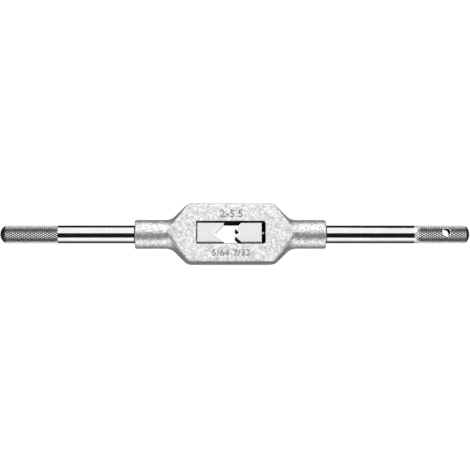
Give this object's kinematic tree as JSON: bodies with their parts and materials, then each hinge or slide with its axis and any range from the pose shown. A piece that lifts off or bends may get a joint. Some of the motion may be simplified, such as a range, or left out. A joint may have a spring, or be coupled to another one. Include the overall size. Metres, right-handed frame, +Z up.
{
  "type": "tap wrench",
  "caption": "Adjustable tap wrench: a flat cast body with a windowed jaw opening, one fixed and one screw-driven jaw, and two knurled round handles.",
  "frame": {"origin": "on the resting face of the body, below the middle of the 180 mm overall length and on the tool's centre line", "axes": "+X along the tool from the fixed handle to the adjusting handle, +Y across the body, +Z up along the tap's axis out of the body's upper face"},
  "size_m": [0.18, 0.0232, 0.012],
  "materials": {
    "cast_body": "as-cast zinc, tumbled, fine matte grain",
    "handle_chrome": "turned steel, bright plated, knurled at the ends",
    "jaw_steel": "hardened and ground, bevelled edges",
    "pin_steel": "spring steel, dark oiled"
  },
  "bodies": {
    "fixed_side": {"body": "cast_body", "fixed_handle": "handle_chrome", "fixed_jaw": "jaw_steel", "fixed_jaw_pin": "pin_steel"},
    "moving_jaw": {"moving_jaw": "jaw_steel", "moving_jaw_pin_upper": "pin_steel", "moving_jaw_pin_lower": "pin_steel"},
    "adjusting_handle": {"adjusting_handle": "handle_chrome"}
  },
  "joints": [
    {"name": "jaw_slide", "type": "slide", "parent": "fixed_side", "child": "moving_jaw", "axis": [1, 0, 0], "range_m": [-0.0065, 0.0004]},
    {"name": "handle_turn", "type": "hinge", "parent": "moving_jaw", "child": "adjusting_handle", "pos_m": [0.006, 0, 0.006], "axis": [1, 0, 0], "range_deg": [-2344, 148]}
  ],
  "couplings": [
    {"joint": "handle_turn", "follows": "jaw_slide", "rad_per_m": 6283.2}
  ]
}
